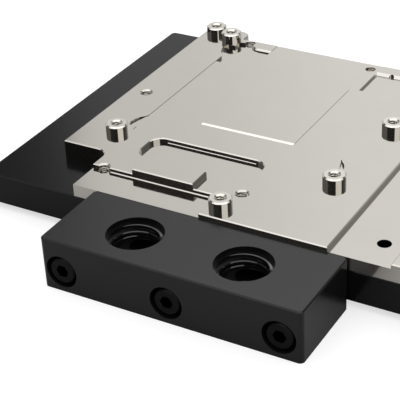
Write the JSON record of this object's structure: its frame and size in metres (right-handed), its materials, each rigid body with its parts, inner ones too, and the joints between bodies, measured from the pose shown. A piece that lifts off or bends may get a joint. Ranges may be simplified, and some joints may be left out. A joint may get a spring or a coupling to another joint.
{
  "type": "liquid cooling cold plate",
  "caption": "Milled plated copper cold plate with a raised die pad and board standoffs, a black cover under it and a black terminal block with threaded coolant ports.",
  "frame": {"origin": "centre of the die face, which is also the centre of the square of board standoffs, at the height of that face", "axes": "+X along the terminal block from its left end to its right end, +Y from the terminal block towards the back edge, +Z out of the die face"},
  "size_m": [0.1485, 0.1211, 0.0176],
  "materials": {
    "nickel_plate": "nickel plated over fine milling",
    "black_acetal": "fine machined, satin",
    "post_nickel": "nickel plated",
    "screw_black": "black oxide",
    "seal_rubber": "moulded",
    "jet_steel": "rolled sheet"
  },
  "bodies": {
    "root": {"base_plate": "nickel_plate", "cover": "black_acetal", "terminal_block": "black_acetal", "jet_plate": "jet_steel", "main_seal": "seal_rubber", "port_seal_left": "seal_rubber", "port_seal_right": "seal_rubber", "terminal_screw_left": "screw_black", "terminal_screw_middle": "screw_black", "terminal_screw_right": "screw_black", "cover_screw_a": "screw_black", "cover_screw_b": "screw_black", "cover_screw_c": "screw_black", "cover_screw_d": "screw_black", "cover_screw_e": "screw_black", "cover_screw_f": "screw_black", "cover_screw_g": "screw_black", "cover_screw_h": "screw_black", "cover_screw_i": "screw_black", "cover_screw_j": "screw_black", "standoff_front_left": "post_nickel", "standoff_front_right": "post_nickel", "standoff_back_left": "post_nickel", "standoff_back_right": "post_nickel", "standoff_left_back": "post_nickel", "standoff_front_mid": "post_nickel", "standoff_right_mid": "post_nickel"}
  },
  "joints": []
}
